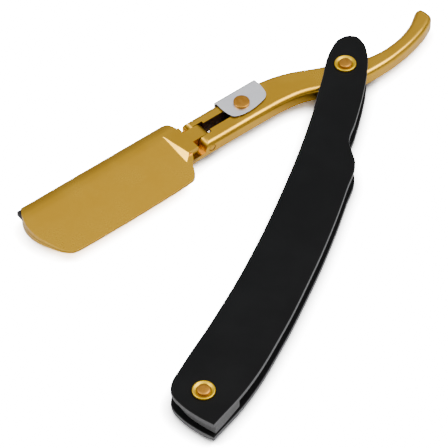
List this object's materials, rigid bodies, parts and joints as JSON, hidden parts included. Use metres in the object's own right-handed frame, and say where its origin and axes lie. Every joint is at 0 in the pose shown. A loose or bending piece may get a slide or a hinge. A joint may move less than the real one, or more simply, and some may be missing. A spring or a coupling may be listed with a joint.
{
  "type": "folding razor",
  "caption": "Folding barber's razor: a curved tail, slotted bar and clamping jaw head for a thin blade, with a thumb slider, pivoted between curved black scales joined by a spacer.",
  "frame": {"origin": "centre of the flat head of the rear pivot rivet, on the blade holder's pivot axis; z = 0 is the plane the handle lies on", "axes": "+Y runs from the handle's far end to the pivot, +X points from the scales' concave side to their bulging side, +Z is across the flat faces, out of the front scale"},
  "size_m": [0.0891, 0.1661, 0.0107],
  "materials": {
    "front_scale": "matte black coat, thin bright worn line on the cut edges",
    "rear_scale": "matte black coat",
    "end_spacer": "matte black block",
    "pivot_rivet": "satin rosy gold",
    "end_rivet": "satin rosy gold",
    "pivot_collar_front": "polished yellow gold cup washer",
    "pivot_collar_rear": "polished yellow gold cup washer",
    "end_collar_front": "polished yellow gold cup washer",
    "end_collar_rear": "polished yellow gold cup washer",
    "pivot_washer_front": "bare thin washer",
    "pivot_washer_rear": "bare thin washer",
    "shank": "satin gold-coloured coating on steel",
    "backing_strip": "matte black",
    "blade_stud_heel": "bare pin",
    "blade_stud_tip": "bare pin",
    "jaw_hinge_pin": "satin gold-coloured, flush with the fork",
    "upper_jaw": "satin gold-coloured coating on steel",
    "slider_clip": "satin silver folded sheet",
    "slider_rivet": "satin darker gold thumb disc",
    "slider_washer": "bare thin washer"
  },
  "bodies": {
    "handle": {"front_scale": "front_scale", "rear_scale": "rear_scale", "end_spacer": "end_spacer", "pivot_rivet": "pivot_rivet", "end_rivet": "end_rivet", "pivot_collar_front": "pivot_collar_front", "pivot_collar_rear": "pivot_collar_rear", "end_collar_front": "end_collar_front", "end_collar_rear": "end_collar_rear", "pivot_washer_front": "pivot_washer_front", "pivot_washer_rear": "pivot_washer_rear"},
    "blade_holder": {"shank": "shank", "backing_strip": "backing_strip", "blade_stud_heel": "blade_stud_heel", "blade_stud_tip": "blade_stud_tip", "jaw_hinge_pin": "jaw_hinge_pin"},
    "upper_jaw": {"upper_jaw": "upper_jaw"},
    "slider": {"slider_clip": "slider_clip", "slider_rivet": "slider_rivet", "slider_washer": "slider_washer"}
  },
  "joints": [
    {"name": "blade_pivot", "type": "hinge", "parent": "handle", "child": "blade_holder", "pos_m": [0, 0, 0.00535], "axis": [0, 0, -1], "range_deg": [-35, 237]},
    {"name": "jaw_hinge", "type": "hinge", "parent": "blade_holder", "child": "upper_jaw", "pos_m": [-0.03184, -0.03661, 0.00535], "axis": [-0.8419, 0.5397, 0], "range_deg": [0, 90]},
    {"name": "slider_slide", "type": "slide", "parent": "blade_holder", "child": "slider", "axis": [-0.5397, -0.8419, 0], "range_m": [0, 0.007]}
  ]
}
